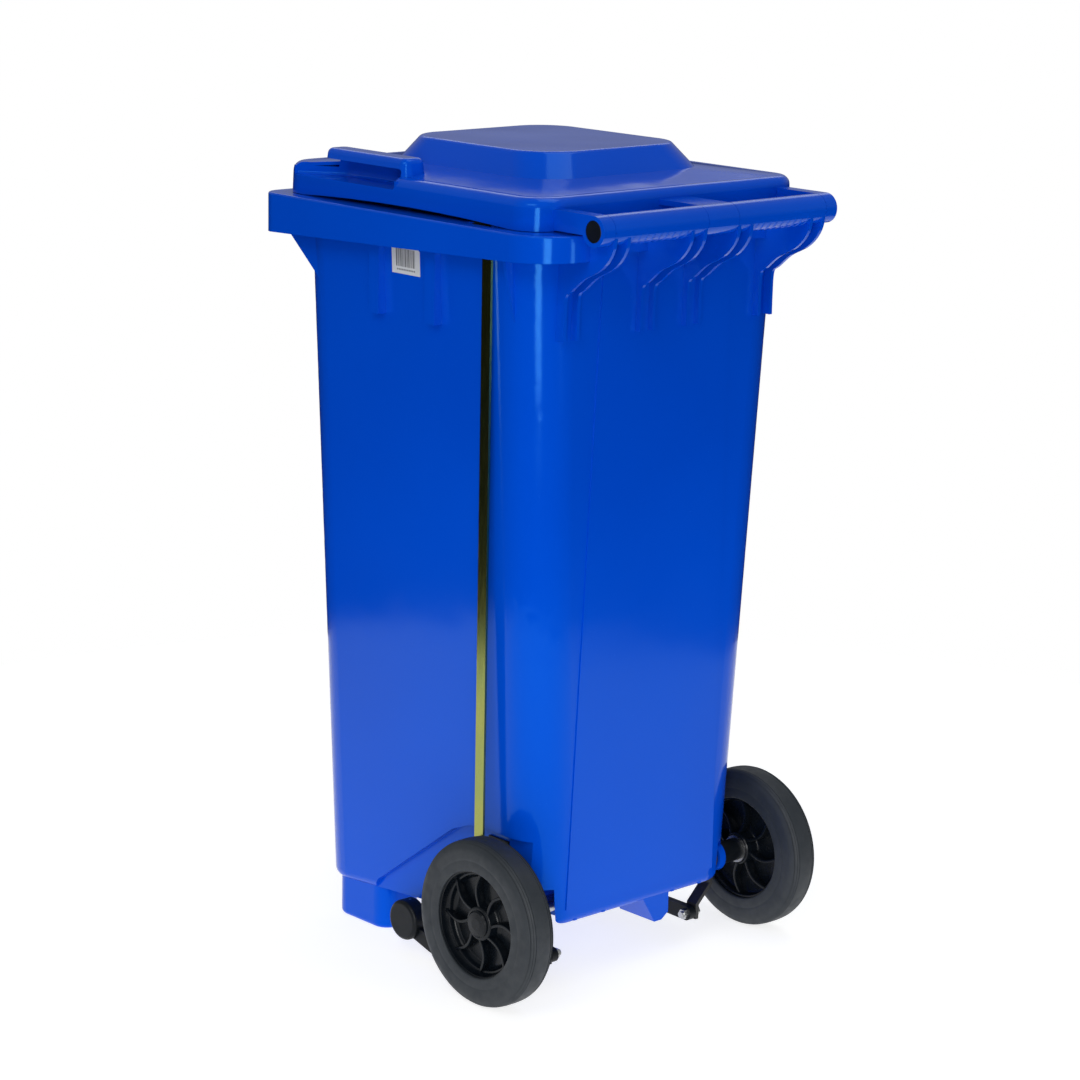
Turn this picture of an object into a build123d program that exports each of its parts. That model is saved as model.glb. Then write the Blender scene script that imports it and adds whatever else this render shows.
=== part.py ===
"""Two-wheeled waste bin of the 120-litre class, with a pedal that lifts its lid.

Frame: millimetres, +Z up, the origin on the ground under the middle of the overall box.
The front, where the pedal is, faces -Y. The hinge and the wheels are at the rear, +Y.
The push rod stands on the +X side, called the right side here.
"""

from build123d import *
from math import atan2, degrees, radians, tan
import os

os.makedirs("parts", exist_ok=True)

# ---- driving dimensions ----
# tub
wall = 4.0  # moulded wall of tub and lid
body_low_z = 70.0  # height at which the lower section of the tub is given
body_high_z = 850.0  # height at which the upper section is given
half_width_low = 167.0
half_width_high = 203.4
front_low_y = -242.4
front_high_y = -245.8
rear_low_y = 168.0
rear_high_y = 185.0
corner_radius = 54.0
base_front_z = 45.0  # underside of the tub at its front
base_rear_z = 80.0  # underside of the tub at its rear
base_round = 12.0
floor_step_y = 62.0  # where the inside floor starts to climb over the axle
floor_step_length = 44.0
floor_over_axle = 32.0  # inside floor above the axle's centre line

# rim collar
rim_top_z = 912.0
rim_half_width = 235.2
rim_front_y = -273.6
rim_rear_y = 233.0
rim_front_radius = 24.0
rim_rear_radius = 60.0
rim_flange = 5.0
collar_front_z = 864.5
collar_rear_z = 882.5
collar_inner_rear_y = 202.0  # the collar behind the grip tube stands further in

# hinge line, grip tube and rear brackets
hinge_y = 256.0
hinge_z = 919.5
tube_radius = 17.5
pin_radius = 10.0
pin_head_radius = 12.5
pin_head_length = 4.0
pin_inner_x = 8.0
fixed_gap = 0.1  # play of a pin, bolt or axle in a hole where nothing turns
running_gap = 0.08  # radial clearance of a shaft that turns in a hole
side_gap = 0.6  # gap between faces that turn past each other
rib_thick = 4.5
rib_centres = (27.0, 47.0, 146.0, 166.0)
knuckle_length = 17.5
leg_end_z = 787.0
leg_depth = 8.0  # how far the legs stand out from the rear wall

# rear wall and its underside
rear_panel_low = 122.0
rear_panel_high = 102.0
rear_panel_step = 1.5
panel_low_z = 100.0
stop_x = -29.0
stop_low_z = 50.0
stop_rear_y = 166.0
stop_length = 60.0
gusset_y = 146.0
gusset_low_z = 806.0
gusset_reach = 12.0

# side ribs, label, corner webs
web_centres = (66.0, 198.0)
web_low_z = 813.0
side_rib_centres = (-87.0, 13.5)
side_rib_width = 18.0
side_rib_outer_x = 212.4
label_width = 50.0
label_height = 33.0
label_thick = 0.3
label_centre_y = -39.0
label_centre_z = 854.0

# lid
lid_gap = 0.6  # between the rim and the lid's lower edge
lid_skirt_top_z = 949.0
lid_half_width = 214.6
lid_half_width_top = 212.7
lid_front_y = -262.0
lid_rear_y = 193.0
lid_corner_radius = 38.0
lid_edge_round = 11.0
panel_base_z = 957.0
panel_top_z = 985.0
panel_base_half_width = 135.0
panel_top_half_width = 117.0
panel_base_front_y = -168.0
panel_base_rear_y = 119.0
panel_top_front_y = -150.0
panel_top_rear_y = 97.0
panel_corner_radius = 52.0
edge_bow = 5.5  # rise of the lid's side edges between front and rear
edge_bow_front_y = -215.0
edge_bow_rear_y = 150.0
grip_inner_x = 172.0
grip_front_y = -186.0
grip_rear_y = -50.0
grip_ramp_y = -236.0
grip_floor_z = 935.0
grip_ceiling_z = 958.0
grip_top_z = 970.0
grip_outer_x = 206.0
panel_edge_round = 7.0
arm_low_z = 914.0
link_thick = 6.0
striker_plate = 4.0
striker_post_x = 205.0
striker_post_reach = 155.0

# wheels and axle
wheel_radius = 100.0
wheel_width = 41.0
wheel_outer_x = 240.0
axle_y = 138.0
axle_radius = 10.0
axle_half_length = 226.0
tyre_seat_radius = 66.0
tyre_lip_radius = 64.0
tyre_lip = 4.0
groove_size = 1.2
groove_pitch = 3.2
groove_count = 3
hub_boss_radius = 20.0
hub_fins = 8
hub_fin_thick = 4.0
cap_radius = 14.2
cheek_x = 160.0  # flat inner floor of the wheel recess
cheek_boss_x = 150.0
spacer_radius = 14.0
axle_boss_radius = 19.0
axle_rib_centres = (58.0, 104.0)

# front feet
foot_inner_x = 96.0
foot_outer_x = 160.0
foot_front_y = -217.0
foot_rear_y = -118.0
foot_radius = 22.0
foot_round = 6.0

# pedal linkage
shaft_y = -48.0
shaft_z = 42.0
shaft_radius = 7.0
shaft_left_x = -136.0
lever_inner_x = 174.0
lever_plate = 10.0
lever_boss_radius = 25.0
lever_boss_outer_x = 192.0
lever_pin_y = 91.0
lever_pin_z = 18.0
lever_pin_radius = 6.0
lever_pin_length = 17.5
lever_end_radius = 9.0
pedal_y = -247.0  # middle of the foot pad
pedal_z = 150.0
pedal_width = 90.0
pedal_depth = 52.0
pedal_pad = 10.0
pedal_plate = 4.0
arm_width = 24.0
channel_half_width = 52.0
channel_clear = 16.0  # room over the pedal at rest

tab_width = 38.0
tab_front_y = -6.0
tab_rear_y = 54.0
tab_hole_inset = 12.0
tab_hole_offset = 12.5
tab_thick = 5.0
carrier_bolt_radius = 3.0
carrier_bolt_grip = 8.0

hanger_bolt_radius = 4.0
collar_ring_radius = 12.0
collar_ring_width = 8.0
roll_pin_radius = 2.0
arm_sleeve_radius = 13.0
screw_radius = 2.0
screw_head_radius = 3.6
screw_head_height = 2.0

# push rod
slot_front_y = 76.0
slot_rear_y = 122.0
slot_outer_x = 216.5
rod_width = 15.0
rod_thick = 3.0
rod_top_x = 209.0  # outer face, where it meets the collar
rod_top_y = 107.6
rod_reference_z = 873.0
rod_low_x = 195.0
rod_low_y = 94.0
rod_low_z = 190.0
shoe_rest_z = 25.4
shoe_length = 38.0
shoe_thick = 4.0
shoe_flange = 34.0
rivet_radius = 2.5
rivet_head_radius = 4.4
rivet_head = 1.6
guide_z = 156.0
guide_thick = 4.0
guide_half_length = 17.0
guide_outer_x = 197.4
guide_gap = 0.5
guide_screw_radius = 2.5

# carriers under the tub
carrier_x = 116.0
carrier_thick = 10.0
carrier_height = 18.0
carrier_low_z = 25.0
carrier_pad_z = 56.0  # where the carriers are bolted to the tub
hanger_x = 143.5  # inner face of the strap where it hangs on the axle
hanger_thick = 5.0
hanger_width = 16.0

axle_z = wheel_radius


# ---- sizes that follow from them ----
def blend(z, low, high):
    """A straight taper between the two given heights of the tub."""
    return low + (high - low) * (z - body_low_z) / (body_high_z - body_low_z)


def half_width(z):
    return blend(z, half_width_low, half_width_high)


def front_y(z):
    return blend(z, front_low_y, front_high_y)


def rear_y(z):
    return blend(z, rear_low_y, rear_high_y)


def base_z(y):
    """Height of the tub's sloping underside."""
    share = (y - front_low_y) / (rear_low_y - front_low_y)
    return base_front_z + (base_rear_z - base_front_z) * share


def collar_z(y):
    """Height of the collar's lower edge, which rises towards the rear."""
    share = (y - rim_front_y) / (rim_rear_y - rim_front_y)
    return collar_front_z + (collar_rear_z - collar_front_z) * share


def rod_x(z):
    """Outer face of the push rod, which leans out with the tub's wall."""
    share = (z - rod_low_z) / (rod_reference_z - rod_low_z)
    return rod_low_x + (rod_top_x - rod_low_x) * share


def rod_y(z):
    share = (z - rod_low_z) / (rod_reference_z - rod_low_z)
    return rod_low_y + (rod_top_y - rod_low_y) * share


rod_end_z = hinge_z - 7.9  # the rod's rounded top end at rest
lid_low_z = rim_top_z + lid_gap
outer_rib_face = rib_centres[-1] + rib_thick / 2
inner_rib_face = rib_centres[0] - rib_thick / 2
knuckle_start_x = outer_rib_face + side_gap
knuckle_end_x = knuckle_start_x + knuckle_length
barrel_half = inner_rib_face - side_gap
wheel_inner_x = wheel_outer_x - wheel_width
shaft_right_x = lever_boss_outer_x - 3.0
tab_holes = [
    (carrier_x + tab_hole_offset, tab_front_y + tab_hole_inset),
    (carrier_x - tab_hole_offset, tab_rear_y - tab_hole_inset),
]
guide_screw_places = [
    (rod_y(guide_z) - guide_half_length + 6, guide_z + 11),
    (rod_y(guide_z) + guide_half_length - 6, guide_z + 11),
]
lean = degrees(atan2(half_width_high - half_width_low, body_high_z - body_low_z))
sides = (-1, 1)
side_names = {-1: "left", 1: "right"}


# ---- shared outlines ----
def rounded_outline(z, half, front, rear, radius):
    """A level rounded rectangle, even about X."""
    with BuildSketch(Plane.XY.offset(z)) as outline:
        with Locations((0, (front + rear) / 2)):
            RectangleRounded(2 * half, rear - front, radius)
    return outline.sketch.face()


def body_outline(z, inset):
    """The tub's section at a height, or the same set in by the wall."""
    half = half_width(z) - inset
    return rounded_outline(z, half, front_y(z) + inset, rear_y(z) - inset, corner_radius - inset)


def rim_outline(z, inset):
    """The rim seen from above, with tighter corners at the front."""
    with BuildSketch(Plane.XY.offset(z)) as outline:
        with BuildLine():
            Polyline(
                (-rim_half_width + inset, rim_front_y + inset),
                (rim_half_width - inset, rim_front_y + inset),
                (rim_half_width - inset, rim_rear_y - inset),
                (-rim_half_width + inset, rim_rear_y - inset),
                close=True,
            )
        make_face()
        by_depth = outline.vertices().group_by(Axis.Y)
        fillet(by_depth[0], rim_front_radius - inset)
        by_depth = outline.vertices().group_by(Axis.Y)
        fillet(by_depth[-1], rim_rear_radius - inset)
    return outline.sketch.face()


def outline_face(points, margin=0.0, x=0.0):
    """A closed outline of (y, z) points on a plane across X, grown by a margin."""
    with BuildSketch(Plane.YZ.offset(x)) as outline:
        with BuildLine():
            Polyline(*points, close=True)
        make_face()
        if margin > 0:
            offset(amount=margin, kind=Kind.INTERSECTION)
    return outline.sketch.face()


def disc(radius, x, y, z, hole=0.0):
    """A round face across X, or a ring."""
    with BuildSketch(Plane.YZ.offset(x)) as outline:
        with Locations((y, z)):
            Circle(radius)
            if hole > 0:
                Circle(hole, mode=Mode.SUBTRACT)
    return outline.sketch.face()


def bracket_outline(x):
    """Side view of one rear rib: round the tube, then swept in to a straight leg."""
    leg_y = rear_high_y + leg_depth
    root_y = rear_high_y - 9
    with BuildSketch(Plane.YZ.offset(x)) as outline:
        with BuildLine():
            Polyline(
                (leg_y, leg_end_z + 18),
                (leg_y, leg_end_z),
                (root_y, leg_end_z),
                (root_y, hinge_z - 12),
                (hinge_y, hinge_z + 8),
                (hinge_y + 16, hinge_z - 5),
            )
            Spline(
                (hinge_y + 16, hinge_z - 5),
                (hinge_y + 9, hinge_z - 29),
                (hinge_y - 10, hinge_z - 47),
                (hinge_y - 34, hinge_z - 59),
                (hinge_y - 54, hinge_z - 75),
                (leg_y, leg_end_z + 18),
                tangents=[(0, -1), (0, -1)],
            )
        make_face()
    return outline.sketch.face()


# ---- what is hollow in the tub, followed by its outside and its inside ----
floor_z = axle_z + floor_over_axle
recess_points = [
    (axle_y - 272, 10),
    (axle_y - 272, base_front_z + 8),
    (axle_y - 262, axle_z - 31),
    (axle_y - 118, axle_z + 73),
    (axle_y - 86, axle_z + 86),
    (axle_y - 54, axle_z + 90),
    (axle_y + 20, axle_z + 87),
    (axle_y + 60, axle_z + 60),
    (axle_y + 60, 10),
]
channel_top = pedal_z + channel_clear
channel_points = [
    (rim_front_y - 10, 10),
    (rim_front_y - 10, channel_top),
    (front_low_y + 22, channel_top),
    (shaft_y + 26, base_z(shaft_y) + 8),
    (shaft_y + 34, 10),
]
tunnel_points = [
    (floor_step_y + 18, 10),
    (floor_step_y + 18, base_z(floor_step_y) + 3),
    (floor_step_y + floor_step_length + 3, floor_z - wall),
    (rear_y(axle_z) - wall, floor_z - wall),
    (rear_y(body_low_z) - wall, 10),
]
recess_depth = 2 * (half_width_high - cheek_x)


def wheel_recess(margin, side):
    """What is cut from one side of the body to make room for a wheel."""
    face = outline_face(recess_points, margin, side * (cheek_x - margin))
    with BuildPart() as cut:
        extrude(face, amount=side * recess_depth)
    return cut.part


def pedal_channel(margin):
    half = channel_half_width + margin
    with BuildPart() as cut:
        extrude(outline_face(channel_points, margin), amount=half, both=True)
    return cut.part


outer_recesses = [wheel_recess(0, side) for side in sides]
inner_recesses = [wheel_recess(wall, side) for side in sides]
outer_channel = pedal_channel(0)
inner_channel = pedal_channel(wall)

with BuildPart() as tub_inside:
    loft([body_outline(20, wall), body_outline(rim_top_z + 20, wall)])
    below_floor = [
        (rim_front_y, 0),
        (rim_front_y, base_z(rim_front_y) + wall),
        (floor_step_y, base_z(floor_step_y) + wall),
        (floor_step_y + floor_step_length, floor_z),
        (rim_rear_y, floor_z),
        (rim_rear_y, 0),
    ]
    extrude(outline_face(below_floor), amount=rim_half_width, both=True, mode=Mode.SUBTRACT)
    fillet(tub_inside.faces().sort_by(Axis.Z)[0].edges(), radius=base_round - wall)
    for cut in inner_recesses:
        add(cut, mode=Mode.SUBTRACT)
    add(inner_channel, mode=Mode.SUBTRACT)


def foot_outline(side, z, inset):
    """One front foot seen from above."""
    with BuildSketch(Plane.XY.offset(z)) as outline:
        with Locations((side * (foot_inner_x + foot_outer_x) / 2, (foot_front_y + foot_rear_y) / 2)):
            RectangleRounded(
                foot_outer_x - foot_inner_x - 2 * inset,
                foot_rear_y - foot_front_y - 2 * inset,
                foot_radius - inset,
            )
    return outline.sketch.face()


foot_height = base_front_z + 24
axle_rib_points = [
    (floor_step_y + 18, base_z(floor_step_y + 18) + 3),
    (floor_step_y + floor_step_length, floor_z - 1),
    (rear_y(axle_z) - 1, floor_z - 1),
    (rear_y(base_rear_z) - 1, base_rear_z + 3),
]

# the rim: a flange round the mouth, with the collar hanging from its edge
with BuildPart() as rim:
    rim_low_z = collar_front_z - 10
    extrude(rim_outline(rim_low_z, 0), amount=rim_top_z - rim_low_z)
    fillet(rim.faces().sort_by(Axis.Z)[-1].edges(), radius=2.5)
    extrude(rim_outline(rim_low_z, wall), amount=rim_top_z - rim_flange - rim_low_z, mode=Mode.SUBTRACT)
    below_collar = [
        (rim_front_y - 5, rim_low_z - 5),
        (rim_front_y - 5, collar_z(rim_front_y - 5)),
        (rim_rear_y + 5, collar_z(rim_rear_y + 5)),
        (rim_rear_y + 5, rim_low_z - 5),
    ]
    extrude(outline_face(below_collar), amount=rim_half_width + 5, both=True, mode=Mode.SUBTRACT)
    # behind the grips the collar stands further in
    with BuildSketch(Plane.XY.offset(rim_low_z)) as gap:
        with Locations((0, collar_inner_rear_y)):
            Rectangle(2 * outer_rib_face - rib_thick, 60, align=(Align.CENTER, Align.MIN))
    extrude(gap.sketch.face(), amount=rim_top_z - rim_low_z, mode=Mode.SUBTRACT)
    with BuildSketch(Plane.XY.offset(collar_z(collar_inner_rear_y))) as strip:
        with Locations((0, collar_inner_rear_y - wall)):
            Rectangle(2 * outer_rib_face, wall, align=(Align.CENTER, Align.MIN))
    extrude(strip.sketch.face(), amount=rim_top_z - collar_z(collar_inner_rear_y))
    # slot through which the push rod and the lid's striker meet
    with BuildSketch(Plane.XY.offset(rim_top_z - 20)) as slot:
        with Locations(((half_width(rim_top_z) + slot_outer_x) / 2, (slot_front_y + slot_rear_y) / 2)):
            Rectangle(slot_outer_x - half_width(rim_top_z), slot_rear_y - slot_front_y)
    extrude(slot.sketch.face(), amount=30, mode=Mode.SUBTRACT)

with BuildPart() as tub:
    loft([body_outline(20, 0), body_outline(rim_top_z, 0)])
    below_base = [
        (rim_front_y, 0),
        (rim_front_y, base_z(rim_front_y)),
        (rim_rear_y, base_z(rim_rear_y)),
        (rim_rear_y, 0),
    ]
    extrude(outline_face(below_base), amount=rim_half_width, both=True, mode=Mode.SUBTRACT)
    fillet(tub.faces().sort_by(Axis.Z)[0].edges(), radius=base_round)
    for cut in outer_recesses:
        add(cut, mode=Mode.SUBTRACT)
    add(outer_channel, mode=Mode.SUBTRACT)
    extrude(outline_face(tunnel_points), amount=cheek_x - wall, both=True, mode=Mode.SUBTRACT)
    for side in sides:
        extrude(foot_outline(side, 0, 0), amount=foot_height)
    fillet(tub.edges().filter_by_position(Axis.Z, -0.1, 0.1), radius=foot_round)
    # the side ribs under the collar, with a gusset that leans forward
    for side in sides:
        for y in side_rib_centres:
            front = y - side_rib_width / 2
            rear = y + side_rib_width / 2
            outline = [
                (rear, leg_end_z),
                (rear, rim_top_z - 2),
                (front - 20, rim_top_z - 2),
                (front - 20, collar_z(front) + 3),
                (front, collar_z(front) - 14),
                (front, leg_end_z),
            ]
            root_x = half_width(leg_end_z) - wall / 2
            extrude(outline_face(outline, 0, side * root_x), amount=side * (side_rib_outer_x - root_x))
    # webs that carry the collar at its corners
    for side in sides:
        for x in web_centres:
            web_back_y = front_y(rim_top_z) + corner_radius
            front_web = [
                (rim_front_y + wall / 2, rim_top_z - 2),
                (rim_front_y + wall / 2, collar_z(rim_front_y) + 2),
                (rim_front_y + 6, collar_z(rim_front_y) + 2),
                (web_back_y - 12, web_low_z),
                (web_back_y, web_low_z),
                (web_back_y, rim_top_z - 2),
            ]
            extrude(outline_face(front_web, 0, side * x - rib_thick / 2), amount=rib_thick)
    # rear brackets, grip tube and the bores for the hinge pins
    for side in sides:
        for x in rib_centres:
            extrude(bracket_outline(side * x - rib_thick / 2), amount=rib_thick)
        start = side * inner_rib_face
        extrude(disc(tube_radius, start, hinge_y, hinge_z), amount=side * (outer_rib_face - inner_rib_face))
    add(rim.part)
    # the room for waste, cut last so that every rib stops at the wall
    add(tub_inside.part, mode=Mode.SUBTRACT)
    for side in sides:
        extrude(foot_outline(side, wall, wall), amount=foot_height, mode=Mode.SUBTRACT)
    bore = disc(pin_radius + running_gap, 0, hinge_y, hinge_z)
    extrude(bore, amount=outer_rib_face + 1, both=True, mode=Mode.SUBTRACT)
    # raised middle of the rear wall
    sections = []
    for z, half in ((panel_low_z, rear_panel_low), (rim_top_z - 10, rear_panel_high)):
        with BuildSketch(Plane.XY.offset(z)) as section:
            with Locations((0, rear_y(z) + rear_panel_step)):
                Rectangle(2 * half, wall, align=(Align.CENTER, Align.MAX))
        sections.append(section.sketch.face())
    loft(sections)
    # cheeks and ribs that hold the axle, in the hollow under the raised floor
    for side in sides:
        boss = disc(axle_boss_radius, side * cheek_boss_x, axle_y, axle_z)
        extrude(boss, amount=side * (cheek_x - cheek_boss_x))
        for x in axle_rib_centres:
            extrude(outline_face(axle_rib_points, 0, side * x - rib_thick / 2), amount=rib_thick)
    hole = disc(axle_radius + fixed_gap, 0, axle_y, axle_z)
    extrude(hole, amount=cheek_x + 1, both=True, mode=Mode.SUBTRACT)
    # the stop rib that hangs under the rear wall
    with BuildSketch(Plane.XZ.offset(-stop_rear_y)) as stop:
        with BuildLine():
            Polyline(
                (stop_x - 23, base_rear_z + 8),
                (stop_x - 23, stop_low_z + 8),
                (stop_x - 12, stop_low_z),
                (stop_x, stop_low_z),
                (stop_x + 23, base_rear_z + 8),
                close=True,
            )
        make_face()
    extrude(stop.sketch.face(), amount=stop_length)
    # slim gussets either side of each rear corner
    for side in sides:
        with BuildSketch(Plane.XZ.offset(-gusset_y)) as gusset:
            with BuildLine():
                Polyline(
                    (side * (half_width(gusset_low_z) - wall / 2), gusset_low_z),
                    (side * (half_width(rim_top_z) + gusset_reach), collar_z(gusset_y) + 6),
                    (side * (half_width(rim_top_z) + gusset_reach), rim_top_z - 2),
                    (side * (half_width(gusset_low_z) - wall / 2), rim_top_z - 2),
                    close=True,
                )
            make_face()
        extrude(gusset.sketch.face(), amount=rib_thick)
    # pads and holes for the pedal carriers, and holes for the rod guide's screws
    for side in sides:
        with BuildSketch(Plane.XY.offset(carrier_pad_z)) as pad:
            with Locations((side * carrier_x, (tab_front_y + tab_rear_y) / 2)):
                RectangleRounded(tab_width, tab_rear_y - tab_front_y, 4)
            with Locations(*[(side * x, y) for x, y in tab_holes]):
                Circle(carrier_bolt_radius + fixed_gap, mode=Mode.SUBTRACT)
        extrude(pad.sketch.face(), amount=base_z(tab_rear_y) + wall / 2 - carrier_pad_z)
    for y, z in guide_screw_places:
        extrude(disc(guide_screw_radius + fixed_gap, cheek_x + 1, y, z), amount=-8, mode=Mode.SUBTRACT)
tub.part.label = "tub"
export_step(tub.part, "parts/tub.step")


# ---- lid ----
def lid_outline(z, inset):
    share = (z - lid_low_z) / (lid_skirt_top_z - lid_low_z)
    half = lid_half_width + (lid_half_width_top - lid_half_width) * share - inset
    return rounded_outline(z, half, lid_front_y + inset, lid_rear_y - inset, lid_corner_radius - inset)


def panel_outline(z, half, front, rear, inset):
    return rounded_outline(z, half - inset, front + inset, rear - inset, panel_corner_radius - inset)


def lid_form(inset, drop):
    """The lid's closed form; inset and drop give the form of its hollow."""
    crown_z = panel_base_z - drop
    top_z = panel_top_z - drop
    skirt_z = lid_skirt_top_z - drop
    edge = lid_edge_round - inset / 2
    with BuildPart() as form:
        loft([lid_outline(lid_low_z, inset), lid_outline(skirt_z, inset)])
        fillet(form.faces().sort_by(Axis.Z)[-1].edges(), radius=edge)
        base = panel_outline(
            crown_z, panel_base_half_width, panel_base_front_y, panel_base_rear_y, inset * 0.7
        )
        top = panel_outline(top_z, panel_top_half_width, panel_top_front_y, panel_top_rear_y, inset * 0.7)
        loft([lid_outline(skirt_z - 0.5, inset + edge), base])
        loft([base, top])
        fillet(form.faces().sort_by(Axis.Z)[-1].edges(), radius=panel_edge_round - inset / 2)
    return form.part


def grip_outline(z, margin):
    """One side grip from above: a pocket that opens outwards, with a ramp at its front."""
    with BuildSketch(Plane.XY.offset(z)) as outline:
        with BuildLine():
            Polyline(
                (grip_inner_x, grip_front_y),
                (grip_inner_x, grip_rear_y),
                (rim_half_width, grip_rear_y),
                (rim_half_width, grip_ramp_y - 8),
                (grip_outer_x, grip_ramp_y),
                close=True,
            )
        make_face()
        fillet(outline.vertices().sort_by(Axis.X)[0:2], 10)
        if margin > 0:
            offset(amount=margin, kind=Kind.INTERSECTION)
    return outline.sketch.face()


lid_hollow = lid_form(wall, wall)

with BuildPart() as grip_hood:
    with BuildSketch(Plane.XY.offset(lid_skirt_top_z - 12)) as hood:
        with Locations(((grip_inner_x - 6 + grip_outer_x) / 2, (grip_front_y + grip_rear_y) / 2)):
            RectangleRounded(grip_outer_x - grip_inner_x + 6, grip_rear_y - grip_front_y + 20, 14)
    extrude(hood.sketch.face(), amount=grip_top_z - lid_skirt_top_z + 12, taper=8)
    fillet(grip_hood.faces().sort_by(Axis.Z)[-1].edges(), radius=7)

with BuildPart() as grip_wall:
    extrude(grip_outline(grip_floor_z - wall, wall), amount=lid_skirt_top_z - grip_floor_z)
    room = lid_outline(grip_floor_z - wall, 0.5)
    extrude(room, amount=lid_skirt_top_z - grip_floor_z, mode=Mode.INTERSECT)

with BuildPart() as grip_pocket:
    extrude(grip_outline(grip_floor_z, 0), amount=grip_ceiling_z - grip_floor_z)
    fillet(grip_pocket.edges().filter_by(Axis.Y).group_by(Axis.X)[0], radius=4)

with BuildPart() as lid:
    add(lid_form(0, 0))
    add(lid_hollow, mode=Mode.SUBTRACT)
    for flip in (False, True):
        shell = grip_wall.part
        hood = grip_hood.part
        pocket = grip_pocket.part
        if flip:
            shell = mirror(shell, about=Plane.YZ)
            hood = mirror(hood, about=Plane.YZ)
            pocket = mirror(pocket, about=Plane.YZ)
        add(shell)
        add(hood)
        add(pocket, mode=Mode.SUBTRACT)
    # the side edges bow up a little between front and rear
    with BuildSketch(Plane.YZ) as bow:
        with BuildLine():
            middle = (edge_bow_front_y + edge_bow_rear_y) / 2
            ThreePointArc(
                (edge_bow_front_y, lid_low_z),
                (middle, lid_low_z + edge_bow),
                (edge_bow_rear_y, lid_low_z),
            )
            Line((edge_bow_rear_y, lid_low_z), (edge_bow_front_y, lid_low_z))
        make_face()
    extrude(bow.sketch.face(), amount=rim_half_width, both=True, mode=Mode.SUBTRACT)
    # outer hinge arms with their knuckles, and the link with its barrel in the middle
    arm_points = [
        (lid_rear_y - wall - 1, arm_low_z),
        (lid_rear_y - wall - 1, hinge_z + tube_radius),
        (hinge_y, hinge_z + tube_radius),
        (hinge_y, arm_low_z),
    ]
    for side in sides:
        extrude(outline_face(arm_points, 0, side * knuckle_start_x), amount=side * knuckle_length)
        extrude(disc(tube_radius, side * knuckle_start_x, hinge_y, hinge_z), amount=side * knuckle_length)
    link_points = [
        (lid_rear_y - wall - 1, hinge_z + tube_radius - link_thick),
        (lid_rear_y - wall - 1, hinge_z + tube_radius),
        (hinge_y, hinge_z + tube_radius),
        (hinge_y, hinge_z + tube_radius - link_thick),
    ]
    extrude(outline_face(link_points), amount=barrel_half, both=True)
    extrude(disc(tube_radius, 0, hinge_y, hinge_z), amount=barrel_half, both=True)
    bore = disc(pin_radius + running_gap, 0, hinge_y, hinge_z)
    extrude(bore, amount=knuckle_end_x + 1, both=True, mode=Mode.SUBTRACT)
    for side in sides:
        seat = disc(pin_head_radius + running_gap, side * (knuckle_end_x + 1), hinge_y, hinge_z)
        extrude(seat, amount=-side * (pin_head_length + 1.3), mode=Mode.SUBTRACT)
    # post that carries the striker
    with BuildSketch(Plane.XY.offset(lid_low_z + striker_plate)) as post:
        with Locations((striker_post_x, hinge_y - striker_post_reach)):
            RectangleRounded(8, 22, 3)
        with Locations(*[(striker_post_x, hinge_y - striker_post_reach + y) for y in (-6, 6)]):
            Circle(screw_radius + fixed_gap, mode=Mode.SUBTRACT)
    extrude(post.sketch.face(), amount=lid_skirt_top_z - lid_low_z - striker_plate - 2)
lid.part.label = "lid"
export_step(lid.part, "parts/lid.step")


# ---- hinge pins ----
for side in sides:
    name = "hinge_pin_" + side_names[side]
    with BuildPart() as hinge_pin:
        head_x = knuckle_end_x - pin_head_length
        shank = disc(pin_radius, side * pin_inner_x, hinge_y, hinge_z)
        extrude(shank, amount=side * (head_x - pin_inner_x))
        extrude(disc(pin_head_radius, side * head_x, hinge_y, hinge_z), amount=side * pin_head_length)
        chamfer(hinge_pin.faces().sort_by(Axis.X)[0 if side > 0 else -1].edges(), length=1.5)
        chamfer(hinge_pin.faces().sort_by(Axis.X)[-1 if side > 0 else 0].edges(), length=0.8)
    hinge_pin.part.label = name
    export_step(hinge_pin.part, "parts/" + name + ".step")

# ---- lid striker: the cam pad that the push rod lifts ----
cam_z = hinge_z - 7.3
with BuildPart() as lid_striker:
    with BuildSketch(Plane.YZ.offset(half_width(rim_top_z) + 0.7)) as cam:
        with BuildLine():
            Line((hinge_y - 141, lid_low_z - 0.2), (hinge_y - 141, cam_z))
            Line((hinge_y - 141, cam_z), (hinge_y - 147.5, cam_z))
            ThreePointArc(
                (hinge_y - 147.5, cam_z),
                (hinge_y - 156, cam_z - 2.1),
                (hinge_y - 163.5, cam_z - 5.7),
            )
            Polyline(
                (hinge_y - 163.5, cam_z - 5.7),
                (hinge_y - 168, cam_z - 5.7),
                (hinge_y - 168, lid_low_z - 0.2),
                (hinge_y - 141, lid_low_z - 0.2),
            )
        make_face()
    extrude(cam.sketch.face(), amount=lid_half_width - half_width(rim_top_z) - 1)
    with BuildSketch(Plane.XY.offset(lid_low_z - 0.2)) as plate:
        with Locations((striker_post_x, hinge_y - striker_post_reach)):
            RectangleRounded(10, 34, 2)
        with Locations(*[(striker_post_x, hinge_y - striker_post_reach + y) for y in (-6, 6)]):
            Circle(screw_radius + fixed_gap, mode=Mode.SUBTRACT)
    extrude(plate.sketch.face(), amount=striker_plate + 0.2)
    with BuildSketch(Plane.XY.offset(lid_low_z - 0.2)) as seats:
        with Locations(*[(striker_post_x, hinge_y - striker_post_reach + y) for y in (-6, 6)]):
            Circle(screw_head_radius + fixed_gap)
    extrude(seats.sketch, amount=screw_head_height + 0.4, mode=Mode.SUBTRACT)
lid_striker.part.label = "lid_striker"
export_step(lid_striker.part, "parts/lid_striker.step")

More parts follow.
